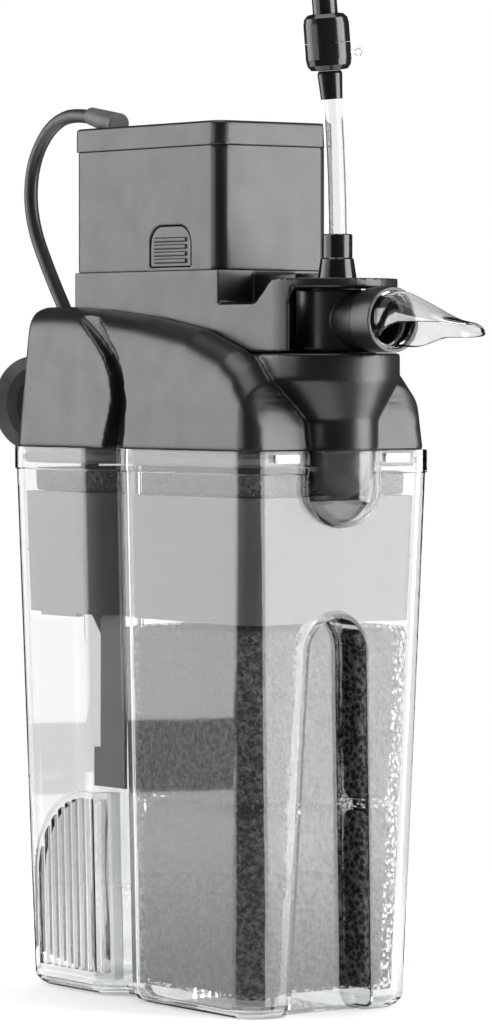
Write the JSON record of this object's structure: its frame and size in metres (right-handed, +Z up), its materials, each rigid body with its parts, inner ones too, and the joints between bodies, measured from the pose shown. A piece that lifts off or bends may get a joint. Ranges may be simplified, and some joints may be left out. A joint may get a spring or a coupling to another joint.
{
  "type": "canister filter",
  "caption": "Submersible aquarium filter: clear canister with slotted inlets and foam, black head with suction cups, and a power-head pump with a swivel outlet, diffuser and air line.",
  "frame": {"origin": "on the canister's flat bottom, on the mid plane, 1.5 mm in front of the bottom's centre", "axes": "+Z up, +X to the filter's left as seen from the outlet, +Y to the suction cups; the outlet points to -Y"},
  "size_m": [0.2035, 0.3315, 0.4253],
  "materials": {
    "clear_canister": "smoky clear moulded plastic, polished",
    "clear_grille": "clear moulded ribs",
    "grey_clear": "translucent grey plastic",
    "catch": "clear moulded plastic",
    "foam": "open-cell reticulated foam",
    "fine_foam": "fine open-cell foam",
    "ceramic": "porous ceramic",
    "black_plastic": "satin black, fine spark-eroded grain",
    "air_black": "satin black",
    "rubber": "matt",
    "stud": "black",
    "cord": "matt sheath",
    "plug": "moulded",
    "pin": "nickel-plated",
    "tie": "soft strap",
    "clear_outlet": "clear moulded plastic",
    "clear_tube": "clear soft tube",
    "steel": "stainless",
    "iron": "laminated, varnished",
    "copper": "enamelled copper winding",
    "magnet": "ferrite",
    "ceramic_shaft": "polished ceramic",
    "impeller": "moulded"
  },
  "bodies": {
    "canister_body": {"canister": "clear_canister", "inlet_grille_left": "clear_grille", "inlet_grille_right": "clear_grille", "partition_grille": "grey_clear", "rim_catches": "catch", "lower_foam": "foam", "upper_foam": "foam"},
    "head": {"head_cover": "black_plastic", "rim_seal": "rubber", "suction_cup_left": "rubber", "suction_cup_right": "rubber", "cup_studs": "stud", "media_basket": "grey_clear", "basket_lid": "grey_clear", "basket_guides": "grey_clear", "bio_media": "ceramic", "fine_pad": "fine_foam"},
    "pump": {"pump_base": "black_plastic", "motor_housing": "black_plastic", "motor_cap": "black_plastic", "cap_screws": "steel", "stator_core": "iron", "stator_coil": "copper", "rotor_well": "black_plastic", "impeller_shaft": "ceramic_shaft", "lower_bush": "rubber", "upper_bush": "rubber", "volute_cover": "black_plastic", "volute_seal": "rubber", "latch_spring_left": "steel", "latch_spring_right": "steel", "air_spigot": "air_black", "air_tube": "clear_tube", "valve_socket": "air_black", "valve_body": "air_black", "strain_relief": "rubber", "power_cord": "cord", "cord_coil": "cord", "coil_tie": "tie", "plug_body": "plug", "plug_pins": "pin", "valve_clip": "steel"},
    "rotor": {"rotor_magnet": "magnet", "impeller": "impeller"},
    "outlet": {"outlet_barrel": "black_plastic", "barrel_seal": "rubber", "outlet_collar": "black_plastic"},
    "diffuser_body": {"diffuser": "clear_outlet"},
    "air_knob": {"valve_cap": "air_black"},
    "latch_left_body": {"latch_left": "black_plastic"},
    "latch_right_body": {"latch_right": "black_plastic"}
  },
  "joints": [
    {"name": "head_lift", "type": "slide", "parent": "canister_body", "child": "head", "axis": [0, 0, 1], "range_m": [0, 0.1]},
    {"name": "pump_lift", "type": "slide", "parent": "head", "child": "pump", "axis": [0, 0, 1], "range_m": [0, 0.06]},
    {"name": "impeller_spin", "type": "hinge", "parent": "pump", "child": "rotor", "pos_m": [0, 0.014, 0.3], "axis": [0, 0, 1], "continuous": true},
    {"name": "outlet_swivel", "type": "hinge", "parent": "pump", "child": "outlet", "pos_m": [0, -0.084, 0.2906], "axis": [0, 0, 1], "range_deg": [-35, 35]},
    {"name": "diffuser_turn", "type": "hinge", "parent": "outlet", "child": "diffuser_body", "pos_m": [0, -0.118, 0.2906], "axis": [0, 1, 0], "range_deg": [-60, 60]},
    {"name": "air_valve_turn", "type": "hinge", "parent": "pump", "child": "air_knob", "pos_m": [-0.0028, -0.084, 0.382], "axis": [-0.0946, 0, 0.9955], "range_deg": [0, 90]},
    {"name": "latch_left_press", "type": "slide", "parent": "pump", "child": "latch_left_body", "axis": [1, 0, 0], "range_m": [0, 0.0018], "stiffness_N_per_m": 600},
    {"name": "latch_right_press", "type": "slide", "parent": "pump", "child": "latch_right_body", "axis": [-1, 0, 0], "range_m": [0, 0.0018], "stiffness_N_per_m": 600}
  ]
}
